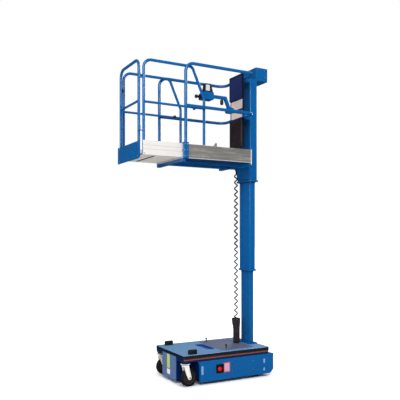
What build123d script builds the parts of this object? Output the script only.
from build123d import *
import os
from math import sqrt

os.makedirs("parts", exist_ok=True)

# Vertical mast lift with a roll-out platform extension, in millimetres, +Z up, mast at the +X end.
# The origin lies on the floor below the middle of the machine's length and width.
# Set-backs along X are measured from the castor end of the deck or platform; left is +Y.

# Clearances
slide_gap = 0.3  # between a pad, pin or roller and the face it runs on
move_gap = 5.5  # least space left round a piece that moves

# Chassis
deck_length = 1160
deck_width = 750
deck_top = 352
deck_depth = 38
deck_corner = 22
cover_wall = 8
rim_depth = 40  # set-back edge between the deck and the side panels
rim_inset = 12
stripe_depth = 20
ground_gap = 35
sheet = 6
skirt_top_gap = 3
skirt_depth = 30
skirt_overhang = 56  # side panels behind the deck's back
skirt_chamfer = 45
arch_lead = 26
arch_rise = 75
nose_sheet = 6
nose_round = 10
hold_gap = 20  # hand hold in the deck, before the raised plate
hold_length = 110
hold_width = 330
hold_depth = 20
battery_start = 440
battery_length = 360
battery_width = 420
battery_height = 190
deck_plate_back = 180  # end of the raised plate before the deck's back
deck_plate_length = 430
deck_plate_width = 600
deck_plate_sheet = 6
buffer_start = 90
buffer_length = 110
buffer_width = 50
buffer_inset = 65  # middle of a buffer inside the deck's edge
knob_setback = 80  # from the raised plate's front edge
knob_half = 240
knob_stem = 28
knob_radius = 12
stop_start = 466
stop_width = 100
stop_rise = 131
stop_offset = 12  # button before the middle of its plate
stop_sheet = 4
stop_stem = 12
stop_travel = 12
stop_head = 24
stop_head_depth = 11
stop_round = 6

# Wheels
wheel_radius = 100
castor_setback = 40  # swivel axis
castor_inset = 46  # swivel axis inside the deck's edge
hull_gap = 20  # hull behind the castors' sweep
castor_trail = 45
castor_width = 36
castor_crown = 12  # shoulder radius of the castor's tyre
tyre_depth = 28
hub_core = 22
hub_web = 12
fork_plate = 5
fork_gap = 5.5
crown_sheet = 14
kingpin_radius = 10
axle_radius = 6
axle_washer = 11
washer_sheet = 5
hub_shoulder = 4
rim_bead = 12  # rim ring below the tyre's seat
rim_lip = 8
rim_inset_side = 2
bearing_height = 30
bearing_radius = 34
drive_back = 160  # drive axle before the deck's back
drive_inset = 78
drive_width = 50
drive_axle_radius = 14
drive_nut_radius = 22
drive_nut = 8
drive_flange_radius = 44
drive_flange_gap = 2
well_gap = 12

# Mast: three nested tubes, the largest on top
mast_inset = 74  # mast's middle before the deck's back
base_depth = 56  # along X
base_width = 204  # along Y
middle_depth = 78
middle_width = 240
outer_depth = 102
outer_width = 290
tube_wall = 5
tube_corner = 10
groove_width = 14  # shallow grooves along the tubes
groove_depth = 1.5
collar_height = 22
collar_lip = 11
collar_round = 4
foot_margin = 36
foot_height = 12
foot_bolt_inset = 22
foot_hole = 5.5
foot_sink = 10
foot_sink_depth = 6
base_top = 1550
middle_bottom = 1253
middle_top = 2620
outer_bottom = 2355
outer_top = 3610
pad_height = 45
pad_margin = 25
head_height = 147
head_projection = 210  # back of the head behind the mast's middle
head_start = 32
head_plate = 16

# Cable
bin_gap = 166  # middle of the cable bin before the mast's middle
bin_radius = 52
bin_wall = 4
bin_top = 667
bin_clip = 14
coil_radius = 26
gland_radius = 14
gland_length = 36
coil_top = 2500

# Platform
floor_top = 2560
floor_sheet = 8
floor_half = 345
platform_length = 917
toe_top = 2709
toe_sheet = 8
toe_bead = 3
platform_gap = 118  # floor's back edge before the sleeve
arm_depth = 26
arm_width = 35
front_beam_depth = 36
front_beam_width = 40
rear_member = 40
gland_plate = 60
gland_sheet = 8
carrier_sheet = 12
carrier_top = 2760
strip_width = 30
strip_half = 280
rail_radius = 18
rail_half = 352
rail_top = 3617
rail_mid = 3142
rail_bend = 100
rail_gap = 80  # cross run of the rails before the sleeve
front_post = 37
bracket_length = 64
bracket_setback = 6
bracket_rise = 5
bracket_round = 8
lug = 10
roller_radius = 11
saddle_half = 20
saddle_inset = 35
panel_half = 150
panel_sheet = 5
panel_rise = 20  # end of the sheet above the bottom of the tool box
holder_rise = 58  # top of the holder above the top rail's middle
holder_height = 300
holder_depth = 16
holder_frame = 10
box_bottom = 2770
box_depth = 24
box_half = 136
box_gap = 4
box_belly = 30
box_round = 8
control_half_gap = 155  # inner face of the control box from the centre line
control_width = 108
control_start = 307
control_length = 145
control_bottom = 3268
control_height = 84
control_round = 8
control_slope = 18
hood_height = 100  # tapered housing that carries the display
hood_depth = 56
hood_inset = 7
hood_front_taper = 20
hood_back_taper = 28
arm_bar = 34
arm_level = 3176
arm_reach = 240  # joint before the rails' cross run
arm_slant = 62
arm_rise = 50  # upper end above the bottom of the control box
arm_foot = 40
joint_length = 92
joint_width = 56
joint_height = 66
stick_boot = 25
stick_boot_depth = 12
stick_stem = 8
stick_length = 50
stick_grip = 21
stick_grip_length = 26

# Extension deck and gate
extension_reach = 512  # front of the gate's kick plate before the castor end
extension_length = 882
extension_sheet = 12
extension_toe_top = 2720
extension_toe_sheet = 6
extension_gap = 5  # extension's underside above the platform's floor
extension_groove = 1.5
extension_groove_height = 9
hoop_radius = 16
hoop_foot_gap = 1
hoop_rail_radius = 13
hoop_half = 297
hoop_top = 3600
hoop_mid = 3140
hoop_shoulder = 3250
hoop_bend = 90
hoop_slant_bend = 60
hoop_top_end = 610  # from the front edge of the extension's floor
rear_post = 763
lock_start = 660
lock_stem = 6
lock_stem_length = 14
lock_radius = 15
lock_length = 16
lock_sink = 2
gate_half = 270
gate_mid = 3149
gate_plate_bottom = 2519
gate_plate_top = 2709
gate_plate_sheet = 5
gate_plate_half = 317
gate_plate_overlap = 20  # legs end above the kick plate's lower edge
gate_post_gap = 28  # gate's legs before the front edge of the extension's floor
gate_latch_height = 3377
gate_plate_round = 8
latch_half = 12
latch_rise = 25
latch_sheet = 10
latch_pin = 9
latch_reach = 22
hinge_pin_radius = 5
hinge_radius = 9
hinge_height = 40
hinge_low = 2850
hinge_high = 3420
hinge_shelf = 8
hinge_shelf_half = 6
hinge_web = 4
hinge_pin_end = 4

# Places that follow from the sizes
overall_length = extension_reach + platform_length + platform_gap + outer_depth / 2 + head_projection
mast_x = overall_length / 2 - head_projection
sleeve_face = mast_x - outer_depth / 2
floor_back = sleeve_face - platform_gap
platform_front = floor_back - platform_length
deck_back = mast_x + mast_inset
deck_front = deck_back - deck_length
deck_half = deck_width / 2
cover_bottom = deck_top - deck_depth
pan_bottom = cover_bottom - rim_depth
hull_half = deck_half - skirt_depth
skirt_end = deck_back + skirt_overhang
castor_x = deck_front + castor_setback
castor_y = deck_half - castor_inset
castor_reach = sqrt((wheel_radius + castor_trail) ** 2 + (castor_width / 2 - castor_crown) ** 2)
castor_room = castor_reach + move_gap
drive_x = deck_back - drive_back
drive_y = deck_half - drive_inset
floor_bottom = floor_top - floor_sheet
rail_x = sleeve_face - rail_gap
post_x = platform_front + front_post
bin_x = mast_x - bin_gap
gate_x = platform_front - extension_reach + gate_plate_sheet + hoop_radius
extension_front = gate_x + gate_post_gap
extension_bottom = floor_top + extension_gap
extension_top = extension_bottom + extension_sheet
hoop_x = extension_front + hoop_radius + hoop_foot_gap
toe_outer = hoop_half + hoop_radius + slide_gap + extension_toe_sheet
upright = (Align.CENTER, Align.CENTER, Align.MIN)


def save(part, name):
    """Write one piece."""
    part.label = name
    export_step(part, f"parts/{name}.step")


def save_pair(part, name):
    """Write the left piece and its mirror image on the right."""
    save(part, f"{name}_left")
    save(mirror(part, about=Plane.XZ), f"{name}_right")


def block(low, high, mode=Mode.ADD):
    """Box from its lowest to its highest corner."""
    size = [b - a for a, b in zip(low, high)]
    middle = tuple((a + b) / 2 for a, b in zip(low, high))
    with Locations(middle):
        Box(*size, mode=mode)


def round_bar(points, radius, bend):
    """Round bar along a polyline whose corners are rounded to one radius, or to a list of them."""
    with BuildPart() as bar:
        with BuildLine() as path:
            FilletPolyline(*points, radius=bend)
        with BuildSketch(Plane(origin=path.line @ 0, z_dir=path.line % 0)):
            Circle(radius)
        sweep(path=path.line)
    return bar.part


def tube_section(depth, width, corner, wall=None):
    """Rounded rectangle round the mast's middle, hollow when a wall is given."""
    with Locations((mast_x, 0)):
        RectangleRounded(depth, width, corner)
        if wall:
            RectangleRounded(depth - 2 * wall, width - 2 * wall, corner - wall, mode=Mode.SUBTRACT)


# Chassis hull: a nose between the castors, then the full width, with wells for the drive wheels
nose_half = castor_y - castor_room
hull_front = castor_x + castor_room + hull_gap
hull_back = deck_back - rim_inset
well_inner = drive_y - drive_width / 2 - well_gap
well_half = wheel_radius + well_gap
rim_half = deck_half - rim_inset
rim_front = deck_front + nose_sheet
housing_bottom = pan_bottom - bearing_height


def hull_plan():
    """Plan of the hull below the deck's rim."""
    with Locations(((rim_front + hull_back) / 2, 0)):
        Rectangle(hull_back - rim_front, 2 * nose_half)
    with Locations(((hull_front + hull_back) / 2, 0)):
        Rectangle(hull_back - hull_front, 2 * hull_half)
    with Locations((drive_x, (well_inner + hull_half) / 2), (drive_x, -(well_inner + hull_half) / 2)):
        Rectangle(2 * well_half, hull_half - well_inner, mode=Mode.SUBTRACT)


with BuildPart() as chassis_frame:
    with BuildSketch(Plane.XY.offset(ground_gap)):
        hull_plan()
    extrude(amount=pan_bottom - ground_gap)
    with BuildSketch(Plane.XY.offset(ground_gap + sheet)):
        hull_plan()
        offset(amount=-sheet, kind=Kind.INTERSECTION, mode=Mode.REPLACE)
    extrude(amount=pan_bottom - ground_gap - sheet, mode=Mode.SUBTRACT)
    block((rim_front, -rim_half, pan_bottom), (hull_back, rim_half, cover_bottom))
    block(
        (rim_front + sheet, sheet - rim_half, pan_bottom + sheet),
        (hull_back - sheet, rim_half - sheet, cover_bottom),
        Mode.SUBTRACT,
    )
    with Locations((castor_x, castor_y, housing_bottom), (castor_x, -castor_y, housing_bottom)):
        Cylinder(bearing_radius, bearing_height, align=upright)
        Cylinder(
            kingpin_radius + slide_gap,
            bearing_height - sheet,
            align=upright,
            mode=Mode.SUBTRACT,
        )
save(chassis_frame.part, "chassis_frame")

# Deck cover: a pressed lid with a hand hold, solid where the mast stands on it
foot_half = base_depth / 2 + foot_margin
cover_inner = rim_inset + sheet
plate_x = deck_back - deck_plate_back - deck_plate_length
hold_x = plate_x - hold_gap - hold_length / 2
with BuildPart() as deck_cover:
    with BuildSketch(Plane.XY.offset(cover_bottom)):
        with Locations((deck_front + deck_length / 2, 0)):
            RectangleRounded(deck_length, deck_width, deck_corner)
    extrude(amount=deck_depth)
    fillet(deck_cover.faces().sort_by(Axis.Z)[-1].edges(), radius=cover_wall - 1)
    block(
        (deck_front + cover_inner, cover_inner - deck_half, cover_bottom),
        (mast_x - foot_half, deck_half - cover_inner, deck_top - cover_wall),
        Mode.SUBTRACT,
    )
    hold_outer = (hold_length / 2 + sheet, hold_width / 2 + sheet)
    block(
        (hold_x - hold_outer[0], -hold_outer[1], deck_top - hold_depth - sheet),
        (hold_x + hold_outer[0], hold_outer[1], deck_top - cover_wall / 2),
    )
    with BuildSketch(Plane.XY.offset(deck_top - hold_depth)):
        with Locations((hold_x, 0)):
            RectangleRounded(hold_length, hold_width, hold_length / 4)
    extrude(amount=hold_depth, mode=Mode.SUBTRACT)
save(deck_cover.part, "deck_cover")

# Side panels: pressed trays with a wheel arch in front and a chamfered lower rear corner
skirt_front = hull_front
skirt_top = pan_bottom - skirt_top_gap
panel_plane = Plane(origin=(0, deck_half, 0), x_dir=(-1, 0, 0), z_dir=(0, 1, 0))
with BuildPart() as side_panel:
    with BuildSketch(panel_plane) as panel_outline:
        with BuildLine():
            arch_foot = (-skirt_front, skirt_top - arch_rise)
            arch_head = (arch_lead - skirt_front, skirt_top)
            TangentArc(arch_foot, arch_head, tangent=(0, 1))
            Polyline(
                arch_head,
                (-skirt_end, skirt_top),
                (-skirt_end, ground_gap + skirt_chamfer),
                (skirt_chamfer - skirt_end, ground_gap),
                (-skirt_front, ground_gap),
                arch_foot,
            )
        make_face()
    extrude(amount=-skirt_depth)
    with BuildSketch(panel_plane.offset(-cover_wall)):
        add(panel_outline.sketch)
        offset(amount=-cover_wall, kind=Kind.INTERSECTION, mode=Mode.REPLACE)
    extrude(amount=-skirt_depth, mode=Mode.SUBTRACT)
    mirror(about=Plane.XZ)
save(side_panel.part, "side_panels")

# Stripe let into the rim below the deck's edge, one along each side
with BuildPart() as stripes:
    block(
        (rim_front, rim_half, cover_bottom - stripe_depth),
        (hull_back, rim_half + rim_inset / 2, cover_bottom),
    )
    mirror(about=Plane.XZ)
save(stripes.part, "stripes")

# Nose plate between the castors, as wide as their sweep allows
nose_plate_half = castor_y - sqrt(castor_room**2 - (castor_setback - nose_sheet) ** 2)
with BuildPart() as nose_cover:
    block(
        (deck_front, -nose_plate_half, ground_gap),
        (rim_front, nose_plate_half, cover_bottom),
    )
    fillet(nose_cover.edges().filter_by(Axis.X).group_by(Axis.Z)[0], radius=nose_round)
save(nose_cover.part, "nose_plate")

# Rear cover: a shallow box with louvres between the side panels
louvre_count = 4
louvre_pitch = 24
louvre_height = 8
louvre_half = 110
rear_low = ground_gap + skirt_chamfer / 2
rear_end = skirt_end - sheet
with BuildPart() as rear_cover:
    block((hull_back, -hull_half, rear_low), (rear_end, hull_half, skirt_top))
    chamfer(
        rear_cover.edges().filter_by(Axis.Y).group_by(Axis.X)[-1].sort_by(Axis.Z)[0],
        length=skirt_chamfer / 2,
    )
    fillet(
        rear_cover.edges().filter_by(Axis.Y).group_by(Axis.X)[-1].sort_by(Axis.Z)[-1],
        radius=cover_wall,
    )
    for row in range(louvre_count):
        low = skirt_top - 2 * louvre_pitch - row * louvre_pitch
        block(
            (rear_end - sheet, -louvre_half, low),
            (rear_end, louvre_half, low + louvre_height),
            Mode.SUBTRACT,
        )
save(rear_cover.part, "rear_cover")

with BuildPart() as battery:
    battery_low = (deck_front + battery_start, -battery_width / 2, ground_gap + sheet)
    block(
        battery_low,
        (battery_low[0] + battery_length, battery_width / 2, battery_low[2] + battery_height),
    )
save(battery.part, "battery_block")

# On the deck: a raised plate, two rubber buffers and two ball knobs
with BuildPart() as deck_plate:
    with BuildSketch(Plane.XY.offset(deck_top)):
        with Locations((plate_x + deck_plate_length / 2, 0)):
            RectangleRounded(deck_plate_length, deck_plate_width, deck_corner)
    extrude(amount=deck_plate_sheet)
save(deck_plate.part, "deck_plate")
plate_top = deck_top + deck_plate_sheet

with BuildPart() as buffers:
    with BuildSketch(Plane.XY.offset(deck_top)):
        with Locations((deck_front + buffer_start + buffer_length / 2, deck_half - buffer_inset)):
            RectangleRounded(buffer_length, buffer_width, buffer_width / 2 - 1)
    extrude(amount=buffer_width)
    fillet(buffers.faces().sort_by(Axis.Z)[-1].edges(), radius=buffer_width / 4)

with BuildPart() as knobs:
    with BuildSketch(Plane.XZ.offset(-knob_half)):
        with BuildLine():
            stem = knob_radius / 2
            ball = plate_top + knob_stem + knob_radius
            knob_x = plate_x + knob_setback
            neck = ball - sqrt(knob_radius**2 - stem**2)
            Line((knob_x, ball + knob_radius), (knob_x, plate_top))
            Line((knob_x, plate_top), (knob_x + stem, plate_top))
            Line((knob_x + stem, plate_top), (knob_x + stem, neck))
            ThreePointArc(
                (knob_x + stem, neck),
                (knob_x + knob_radius, ball),
                (knob_x, ball + knob_radius),
            )
        make_face()
    revolve(axis=Axis((knob_x, knob_half, 0), (0, 0, 1)))
with BuildPart() as fittings:
    add(buffers.part)
    add(knobs.part)
    mirror(about=Plane.XZ)
save(fittings.part, "deck_fittings")

# Emergency stop in the right side panel: a black plate and a mushroom head
stop_x = deck_front + stop_start
stop_z = ground_gap + stop_rise
stop_face = deck_half + stop_sheet
with BuildPart() as stop_plate:
    block(
        (stop_x - stop_width / 2, -stop_face, stop_z - stop_width / 2),
        (stop_x + stop_width / 2, -deck_half, stop_z + stop_width / 2),
    )
    fillet(stop_plate.edges().filter_by(Axis.Y), radius=stop_round)
    for face, radius, depth in (
        (stop_face, stop_stem, stop_travel),
        (stop_face + stop_travel, stop_head, stop_head_depth),
    ):
        with BuildSketch(Plane.XZ.offset(face)):
            with Locations((stop_x - stop_offset, stop_z)):
                Circle(radius)
        extrude(amount=depth)
    fillet(stop_plate.faces().sort_by(Axis.Y)[0].edges(), radius=stop_round)
save(stop_plate.part, "stop_button")

# Castors: swivelling fork, hub and tyre
wheel_x = castor_x + castor_trail
crown_top = housing_bottom - slide_gap
fork_inner = castor_width / 2 + fork_gap
fork_outer = fork_inner + fork_plate
with BuildPart() as fork:
    with BuildSketch(Plane.XZ.offset(-castor_y - fork_outer)):
        with BuildSketch(mode=Mode.PRIVATE) as ends:
            with Locations((wheel_x, wheel_radius)):
                Circle(hub_core)
            with Locations((castor_x + bearing_radius / 3, crown_top - crown_sheet / 2)):
                Rectangle(bearing_radius * 4 / 3, crown_sheet)
        make_hull(ends.edges())
    extrude(amount=2 * fork_outer)
    block(
        (castor_x - wheel_radius, castor_y - fork_inner, 0),
        (castor_x + 2 * wheel_radius, castor_y + fork_inner, crown_top - crown_sheet),
        Mode.SUBTRACT,
    )
    with Locations((castor_x, castor_y, crown_top)):
        Cylinder(bearing_radius - 2, crown_sheet, align=(Align.CENTER, Align.CENTER, Align.MAX))
        Cylinder(
            kingpin_radius,
            bearing_height - sheet - move_gap,
            align=upright,
        )
    with Locations(Location((wheel_x, castor_y, wheel_radius), (90, 0, 0))):
        Cylinder(axle_radius, 2 * (fork_outer + washer_sheet))
        washer = fork_outer + washer_sheet / 2
        with Locations((0, 0, washer), (0, 0, -washer)):
            Cylinder(axle_washer, washer_sheet)
save_pair(fork.part, "castor_fork")


def wheel_ring(outline, centre_x, centre_y, shoulder=None):
    """Ring turned round a wheel's axle from (radius, offset) points, with rounded outer corners."""
    with BuildPart() as ring:
        with BuildSketch(Plane.YZ.offset(centre_x)):
            with BuildLine():
                Polyline(*[(centre_y + off, wheel_radius + rad) for rad, off in outline], close=True)
            face = make_face()
            if shoulder:
                fillet(face.vertices().group_by(Axis.Y)[-1], radius=shoulder)
        revolve(axis=Axis((centre_x, centre_y, wheel_radius), (0, 1, 0)))
    return ring.part


def wheel(name, centre_x, centre_y, width, hub_half, bore):
    """Hub with a bore on the axle and a tyre with rounded shoulders, left and right."""
    seat = wheel_radius - tyre_depth
    rim_half_width = width / 2 - rim_inset_side
    half = (
        (bore, hub_half),
        (hub_core, hub_half),
        (hub_core, hub_web / 2 + hub_shoulder),
        (seat - rim_bead, hub_web / 2),
        (seat - rim_lip, rim_half_width),
        (seat, rim_half_width),
    )
    other = [(rad, -off) for rad, off in reversed(half)]
    save_pair(wheel_ring((*half, *other), centre_x, centre_y), f"{name}_hub")
    tread = ((seat, -width / 2), (seat, width / 2), (wheel_radius, width / 2), (wheel_radius, -width / 2))
    save_pair(wheel_ring(tread, centre_x, centre_y, castor_crown), f"{name}_tyre")


wheel("castor", wheel_x, castor_y, castor_width, fork_inner - slide_gap, axle_radius + slide_gap)
drive_hub_half = drive_width / 2 + hub_shoulder
wheel("drive", drive_x, drive_y, drive_width, drive_hub_half, drive_axle_radius + slide_gap)

# Drive units: a flange on the wall of each well and a stub axle with its nut
with BuildPart() as drive_units:
    hub_face = drive_y - drive_hub_half - slide_gap - well_inner
    hub_outer = drive_y + drive_hub_half + slide_gap
    with Locations(Location((drive_x, well_inner, wheel_radius), (-90, 0, 0))):
        Cylinder(drive_flange_radius, hub_face - drive_flange_gap, align=upright)
        Cylinder(hub_core, hub_face, align=upright)
        Cylinder(drive_axle_radius, hub_outer - well_inner, align=upright)
    with Locations(Location((drive_x, hub_outer, wheel_radius), (-90, 0, 0))):
        Cylinder(drive_nut_radius, drive_nut, align=upright)
    mirror(about=Plane.XZ)
save(drive_units.part, "drive_units")

# Mast base: foot plate on the deck, the smallest tube and the wear pads at its top
foot_top = deck_top + foot_height
with BuildPart() as mast_foot:
    with BuildSketch(Plane.XY.offset(deck_top)):
        tube_section(2 * foot_half, base_width + 2 * foot_margin, deck_corner / 2)
    extrude(amount=foot_height)
    with Locations((mast_x, 0, foot_top)):
        bolt_x = 2 * foot_half - foot_bolt_inset
        bolt_y = base_width + 2 * foot_margin - foot_bolt_inset
        with GridLocations(bolt_x, bolt_y, 2, 2):
            CounterBoreHole(foot_hole, foot_sink, foot_sink_depth, depth=foot_height)


def mast_tube(depth, width, bottom, top):
    """One stage of the mast, with shallow grooves along its faces."""
    with BuildPart() as tube:
        with BuildSketch(Plane.XY.offset(bottom)):
            tube_section(depth, width, tube_corner, tube_wall)
            with Locations((mast_x, 0)):
                with GridLocations(depth, width / 2, 2, 2):
                    Rectangle(2 * groove_depth, groove_width, mode=Mode.SUBTRACT)
                with GridLocations(0, width, 1, 2):
                    Rectangle(groove_width, 2 * groove_depth, mode=Mode.SUBTRACT)
        extrude(amount=top - bottom)
    return tube.part


def pads(depth, width, around_depth, around_width, top):
    """Four wear pads round the top of a stage that run in the stage around it."""
    gap_x = (around_depth - depth) / 2 - tube_wall - slide_gap
    gap_y = (around_width - width) / 2 - tube_wall - slide_gap
    level = top - pad_margin - pad_height / 2
    with BuildPart() as ring:
        x = (depth + gap_x) / 2
        with Locations((mast_x + x, 0, level), (mast_x - x, 0, level)):
            Box(gap_x, width - 4 * tube_corner, pad_height)
        y = (width + gap_y) / 2
        with Locations((mast_x, y, level), (mast_x, -y, level)):
            Box(depth - 2 * tube_corner, gap_y, pad_height)
    return ring.part


def collar(depth, width, inner_depth, inner_width, bottom):
    """Guide plate under a stage, a running fit round the stage inside it."""
    with BuildPart() as plate:
        with BuildSketch(Plane.XY.offset(bottom)):
            tube_section(depth + 2 * collar_lip, width + 2 * collar_lip, tube_corner)
            with Locations((mast_x, 0)):
                RectangleRounded(
                    inner_depth + 2 * slide_gap,
                    inner_width + 2 * slide_gap,
                    tube_corner + slide_gap,
                    mode=Mode.SUBTRACT,
                )
        extrude(amount=collar_height)
        for end in (0, -1):
            rim = plate.faces().filter_by(Axis.Z).sort_by(Axis.Z)[end].outer_wire()
            fillet(rim.edges(), radius=collar_round)
    return plate.part


base = (base_depth, base_width)
middle = (middle_depth, middle_width)
outer = (outer_depth, outer_width)
with BuildPart() as mast_base:
    add(mast_foot.part)
    add(mast_tube(*base, foot_top, base_top))
    add(pads(*base, *middle, base_top))
save(mast_base.part, "mast_base")
with BuildPart() as mast_middle:
    add(mast_tube(*middle, middle_bottom + collar_height, middle_top))
    add(pads(*middle, *outer, middle_top))
    add(collar(*middle, *base, middle_bottom))
save(mast_middle.part, "mast_middle")
with BuildPart() as mast_outer:
    add(mast_tube(*outer, outer_bottom + collar_height, outer_top))
    add(collar(*outer, *middle, outer_bottom))
save(mast_outer.part, "mast_outer")

# Mast head: a cap on the sleeve that carries a box over its back
cap_top = outer_top + head_plate
port_radius = 26
with BuildPart() as mast_head:
    block(
        (sleeve_face, -outer_width / 2, outer_top),
        (mast_x + head_projection, outer_width / 2, cap_top),
    )
    block(
        (mast_x + head_start, -outer_width / 2, cap_top),
        (mast_x + head_projection, outer_width / 2, outer_top + head_plate + head_height),
    )
    fillet(mast_head.edges().filter_by(Axis.Z).group_by(Axis.X)[-1], radius=tube_corner)
    fillet(mast_head.faces().sort_by(Axis.Z)[-1].edges(), radius=tube_wall)
    with Locations(
        Location((mast_x + head_start, outer_width / 4, cap_top + head_height / 3), (0, 90, 0))
    ):
        Cylinder(port_radius, head_start, align=upright, mode=Mode.SUBTRACT)
save(mast_head.part, "mast_head")

# Cable bin on the deck plate, the gland at its bottom and the outline of the coiled cable
inner_top = bin_wall + plate_top
with BuildPart() as cable_bin:
    with BuildSketch(Plane.XY.offset(plate_top)):
        with Locations((bin_x, 0)):
            Circle(bin_radius)
    extrude(amount=bin_top - plate_top)
    with BuildSketch(Plane.XY.offset(inner_top)):
        with Locations((bin_x, 0)):
            Circle(bin_radius - bin_wall)
    extrude(amount=bin_top - inner_top, mode=Mode.SUBTRACT)
    block(
        (bin_x - bin_radius - bin_clip, -bin_clip / 2, bin_top - 3 * bin_clip),
        (bin_x - bin_radius + bin_wall / 2, bin_clip / 2, bin_top - bin_clip),
    )
    with Locations((bin_x, 0, inner_top)):
        Cylinder(gland_radius, gland_length, align=upright)
save(cable_bin.part, "cable_bin")
coil_bottom = inner_top + gland_length
with BuildPart() as coil_cable:
    with Locations((bin_x, 0, coil_bottom)):
        Cylinder(coil_radius, coil_top - coil_bottom, align=upright)
save(coil_cable.part, "coil_cable")

# Platform under-frame: two arms from the mast's sleeve, cross members and the front beam
arm_bottom = floor_bottom - arm_depth
arm_outer = outer_width / 2
beam_back = platform_front + front_beam_width
with BuildPart() as platform_frame:
    for side in (1, -1):
        inner, outer = sorted((side * (arm_outer - arm_width), side * arm_outer))
        block((platform_front, inner, arm_bottom), (sleeve_face, outer, floor_bottom))
    block(
        (platform_front, -floor_half, floor_bottom - front_beam_depth),
        (beam_back, floor_half, floor_bottom),
    )
    block(
        (floor_back - rear_member, -floor_half, arm_bottom),
        (floor_back, floor_half, floor_bottom),
    )
    block(
        (sleeve_face - carrier_sheet, -arm_outer, outer_bottom + collar_height + carrier_sheet),
        (sleeve_face, arm_outer, carrier_top),
    )
    block(
        (bin_x - gland_plate / 2, -arm_outer, floor_bottom - gland_sheet),
        (bin_x + gland_plate / 2, arm_outer, floor_bottom),
    )
    with Locations((bin_x, 0, coil_top)):
        Cylinder(gland_radius, floor_bottom - gland_sheet - coil_top, align=upright)
save(platform_frame.part, "platform_frame")

# Platform floor with two glide strips for the extension deck
extension_inner = floor_back - toe_sheet
with BuildPart() as platform_floor:
    block((platform_front, -floor_half, floor_bottom), (floor_back, floor_half, floor_top))
    for side in (1, -1):
        low, high = side * strip_half - strip_width / 2, side * strip_half + strip_width / 2
        block(
            (platform_front + strip_width, low, floor_top),
            (extension_inner - strip_width, high, extension_bottom - slide_gap),
        )
    block((extension_inner, -floor_half, floor_top), (floor_back, floor_half, toe_top))
save(platform_floor.part, "platform_floor")


def toe_profile(inner, low, high, thickness, bead):
    """Section of a toe board, drawn in the current sketch: a web with two beads on its outer face."""
    web = high - low
    with Locations((inner + thickness / 2, low + web / 2)):
        Rectangle(thickness, web)
    bead_y = inner + thickness + bead / 2
    with Locations((bead_y, low + 2 * bead), (bead_y, high - 2 * bead)):
        Rectangle(bead, 4 * bead)


bracket_front = platform_front + bracket_setback
bracket_back = bracket_front + bracket_length
with BuildPart() as toe_board:
    with BuildSketch(Plane.YZ.offset(bracket_back)):
        toe_profile(floor_half, floor_bottom, toe_top, toe_sheet, toe_bead)
    extrude(amount=floor_back - bracket_back)
    mirror(about=Plane.XZ)
save(toe_board.part, "toe_boards")

# Front brackets with guide rollers, which carry the front posts
bracket_top = extension_toe_top + move_gap + bracket_rise
bracket_middle = (floor_bottom + bracket_top) / 2
bracket_inner = toe_outer + move_gap
bracket_outer = rail_half + rail_radius
roller_y = toe_outer + slide_gap + roller_radius
lug_levels = (floor_bottom + floor_sheet, bracket_middle, bracket_top - lug)
with BuildPart() as brackets:
    block(
        (bracket_front, floor_half, floor_bottom),
        (bracket_back, bracket_outer, bracket_top),
    )
    for level in lug_levels:
        block((bracket_front, bracket_inner, level), (bracket_back, floor_half, level + lug))
    fillet(brackets.edges().filter_by(Axis.Z).group_by(Axis.Y)[-1], radius=bracket_round)
    mirror(about=Plane.XZ)
save(brackets.part, "front_brackets")
with BuildPart() as rollers:
    for low, high in zip(lug_levels, lug_levels[1:]):
        with Locations((post_x, roller_y, low + lug)):
            Cylinder(roller_radius, high - low - lug, align=upright)
    mirror(about=Plane.XZ)
save(rollers.part, "guide_rollers")

# Guardrails: the upper rail and its front posts in one bent tube, and the middle rail
top_rail_path = (
    (post_x, -rail_half, bracket_top),
    (post_x, -rail_half, rail_top),
    (rail_x, -rail_half, rail_top),
    (rail_x, rail_half, rail_top),
    (post_x, rail_half, rail_top),
    (post_x, rail_half, bracket_top),
)
save(round_bar(top_rail_path, rail_radius, rail_bend), "guardrail_top")
mid_rail_path = (
    (post_x, -rail_half, rail_mid),
    (rail_x, -rail_half, rail_mid),
    (rail_x, rail_half, rail_mid),
    (post_x, rail_half, rail_mid),
)
with BuildPart() as mid_rail:
    add(round_bar(mid_rail_path, rail_radius, rail_bend))
    for side in (1, -1):
        with Locations((post_x, side * rail_half, rail_mid)):
            Cylinder(rail_radius + slide_gap, 4 * rail_radius, mode=Mode.SUBTRACT)
save(mid_rail.part, "guardrail_mid")

# Saddles that carry the rails on the sleeve
saddle_y = outer_width / 2 - saddle_inset
with BuildPart() as saddles:
    for level in (rail_mid, rail_top - saddle_half):
        for side in (1, -1):
            block(
                (rail_x, side * saddle_y - saddle_half, level - saddle_half),
                (sleeve_face, side * saddle_y + saddle_half, level + saddle_half),
            )
    for level in (rail_mid, rail_top):
        with Locations(Location((rail_x, 0, level), (90, 0, 0))):
            Cylinder(rail_radius + slide_gap, outer_width, mode=Mode.SUBTRACT)
save(saddles.part, "rail_saddles")

# Panel on the inner side of the rails: back sheet, document holder and the flat tool box below it
panel_front = rail_x - rail_radius - slide_gap - panel_sheet
holder_top = rail_top + holder_rise
holder_bottom = holder_top - holder_height
with BuildPart() as panel:
    block(
        (panel_front, -panel_half, box_bottom + panel_rise),
        (panel_front + panel_sheet, panel_half, holder_top),
    )
    block(
        (panel_front - holder_depth, -panel_half, holder_bottom),
        (panel_front, panel_half, holder_top),
    )
    block(
        (panel_front - holder_depth, holder_frame - panel_half, holder_bottom + holder_frame),
        (panel_front - holder_depth / 2, panel_half - holder_frame, holder_top - holder_frame),
        Mode.SUBTRACT,
    )
save(panel.part, "document_panel")
with BuildPart() as tool_box:
    box_top = rail_mid - rail_radius - box_gap
    block(
        (panel_front - box_depth, -box_half, box_bottom),
        (panel_front, box_half, box_top),
    )
    fillet(tool_box.edges().filter_by(Axis.X).group_by(Axis.Z)[0], radius=box_belly)
    fillet(tool_box.faces().sort_by(Axis.X)[0].edges(), radius=box_round)
save(tool_box.part, "tool_box")

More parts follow.
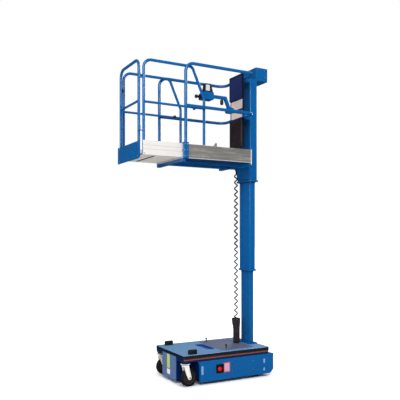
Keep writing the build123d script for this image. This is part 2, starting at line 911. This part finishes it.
# Control box on a bent arm from the middle rail's cross run
control_inner = -control_half_gap
control_outer = control_inner - control_width
control_x = platform_front + control_start
control_top = control_bottom + control_height
control_back = control_x + control_length
arm_y = (control_inner + control_outer) / 2
arm_end = rail_x - rail_radius - slide_gap
joint_x = arm_end - arm_reach
with BuildPart() as control_arm:
    with BuildSketch(Plane.XZ.offset(-arm_y - arm_bar / 2)):
        with BuildLine():
            arm_head = control_bottom + arm_rise
            Polyline(
                (arm_end, arm_level),
                (joint_x, arm_level),
                (joint_x - arm_slant, arm_head),
                (control_back, arm_head),
            )
        trace(line_width=arm_bar)
    extrude(amount=arm_bar)
    block(
        (arm_end - arm_foot, arm_y - arm_bar / 2, rail_mid - rail_radius),
        (arm_end, arm_y + arm_bar / 2, arm_level + arm_bar / 2),
    )
    with BuildPart(mode=Mode.PRIVATE) as joint:
        with Locations((joint_x, arm_y, arm_level)):
            Box(joint_length, joint_width, joint_height)
        fillet(joint.edges().filter_by(Axis.Y), radius=joint_height / 4)
    add(joint.part)
save(control_arm.part, "control_arm")
with BuildPart() as control_box:
    with BuildSketch(Plane.XZ.offset(-control_inner)):
        with BuildLine():
            Polyline(
                (control_x, control_bottom),
                (control_back, control_bottom),
                (control_back, control_top),
                (control_x + control_slope, control_top),
                (control_x, control_top - control_slope),
                close=True,
            )
        make_face()
    extrude(amount=control_width)
    fillet(control_box.edges().filter_by(Axis.Y), radius=control_round)
save(control_box.part, "control_box")
with BuildPart() as console:
    hood_front = control_x + control_slope
    hood_back = control_back - hood_inset
    hood_top = control_top + hood_height
    with BuildSketch(Plane.XZ.offset(-control_outer - hood_inset)):
        with BuildLine():
            Polyline(
                (hood_back, control_top),
                (hood_back - hood_back_taper, hood_top),
                (hood_front + hood_front_taper, hood_top),
                (hood_front, control_top),
                close=True,
            )
        make_face()
    extrude(amount=-hood_depth)
    fillet(console.faces().sort_by(Axis.Z)[-1].edges(), radius=control_round)
save(console.part, "console_top")
with BuildPart() as joystick:
    stick_level = control_bottom + control_height / 3
    with Locations(Location((control_x, arm_y, stick_level), (0, -90, 0))):
        Cylinder(stick_boot, stick_boot_depth, align=upright)
        Cylinder(stick_stem, stick_length, align=upright)
        with Locations((0, 0, stick_length)):
            Cylinder(stick_grip, stick_grip_length, align=upright)
    fillet(joystick.faces().sort_by(Axis.X)[0].edges(), radius=stick_grip / 2)
save(joystick.part, "joystick")

# Extension deck: floor, toe boards and a hoop of bent tube on each side
extension_back = extension_front + extension_length
extension_half = hoop_half + hoop_radius + slide_gap
with BuildPart() as extension_floor:
    block(
        (extension_front, -extension_half, extension_bottom),
        (extension_back, extension_half, extension_top),
    )
    for side in (1, -1):
        inner, outer = sorted((side * extension_half, side * toe_outer))
        block(
            (extension_front, inner, extension_bottom),
            (extension_back, outer, extension_toe_top),
        )
        for level in (1 / 3, 2 / 3):
            low = extension_top + level * (extension_toe_top - extension_top)
            inner, outer = sorted((side * (toe_outer - extension_groove), side * toe_outer))
            block(
                (extension_front, inner, low),
                (extension_back, outer, low + extension_groove_height),
                Mode.SUBTRACT,
            )
save(extension_floor.part, "extension_deck")

rear_x = extension_front + rear_post
hoop_path = (
    (hoop_x, hoop_half, extension_top),
    (hoop_x, hoop_half, hoop_top),
    (extension_front + hoop_top_end, hoop_half, hoop_top),
    (rear_x, hoop_half, hoop_shoulder),
    (rear_x, hoop_half, extension_top),
)
with BuildPart() as hoop:
    add(round_bar(hoop_path, hoop_radius, [hoop_bend, hoop_slant_bend, hoop_slant_bend]))
    with Locations(Location(((hoop_x + rear_x) / 2, hoop_half, hoop_mid), (0, 90, 0))):
        Cylinder(hoop_rail_radius, rear_x - hoop_x)
save(hoop.part, "extension_hoop_left")
hinge_y = -hoop_half
with BuildPart() as right_hoop:
    mirror(hoop.part, about=Plane.XZ)
    for level in (hinge_low, hinge_high):
        foot = level - hinge_height / 2 - slide_gap
        block(
            (gate_x - hinge_shelf_half, hinge_y - hinge_shelf_half, foot - hinge_shelf),
            (hoop_x, hinge_y + hinge_shelf_half, foot),
        )
        with Locations((gate_x, hinge_y, foot)):
            Cylinder(hinge_pin_radius, hinge_height + hinge_pin_end, align=upright)
save(right_hoop.part, "extension_hoop_right")
with BuildPart() as locks:
    lock_place = (extension_front + lock_start, hoop_half - hoop_rail_radius, hoop_mid)
    with Locations(Location(lock_place, (90, 0, 0))):
        Cylinder(lock_stem, lock_stem_length, align=upright)
        with Locations((0, 0, lock_stem_length - lock_sink)):
            Cylinder(lock_radius, lock_length, align=upright)
    mirror(about=Plane.XZ)
save(locks.part, "lock_knobs")

# Gate: a hoop with a middle rail, hinged on the right front post, and its kick plate
gate_path = (
    (gate_x, -gate_half, gate_plate_bottom + gate_plate_overlap),
    (gate_x, -gate_half, hoop_top),
    (gate_x, gate_half, hoop_top),
    (gate_x, gate_half, gate_plate_bottom + gate_plate_overlap),
)
with BuildPart() as gate:
    add(round_bar(gate_path, hoop_radius, hoop_bend))
    with Locations(Location((gate_x, 0, gate_mid), (90, 0, 0))):
        Cylinder(hoop_rail_radius, 2 * gate_half)
    for level in (hinge_low, hinge_high):
        block(
            (gate_x - hinge_web, hinge_y, level - hinge_height / 2),
            (gate_x + hinge_web, -gate_half, level + hinge_height / 2),
        )
        with Locations((gate_x, hinge_y, level)):
            Cylinder(hinge_radius, hinge_height)
    for level in (hinge_low, hinge_high):
        with Locations((gate_x, hinge_y, level)):
            Cylinder(hinge_pin_radius + slide_gap, hinge_height, mode=Mode.SUBTRACT)
save(gate.part, "gate_hoop")
with BuildPart() as gate_plate:
    block(
        (gate_x - hoop_radius - gate_plate_sheet, -gate_plate_half, gate_plate_bottom),
        (gate_x - hoop_radius, gate_plate_half, gate_plate_top),
    )
    fillet(gate_plate.edges().filter_by(Axis.X), radius=gate_plate_round)
save(gate_plate.part, "gate_kick_plate")
with BuildPart() as latch:
    latch_x = gate_x + hoop_radius
    block(
        (latch_x, gate_half - latch_half, gate_latch_height - latch_rise),
        (latch_x + latch_sheet, gate_half + latch_half, gate_latch_height + latch_rise),
    )
    with Locations(Location((latch_x + latch_sheet, gate_half, gate_latch_height), (0, 90, 0))):
        Cylinder(latch_pin, latch_reach, align=upright)
save(latch.part, "gate_latch")
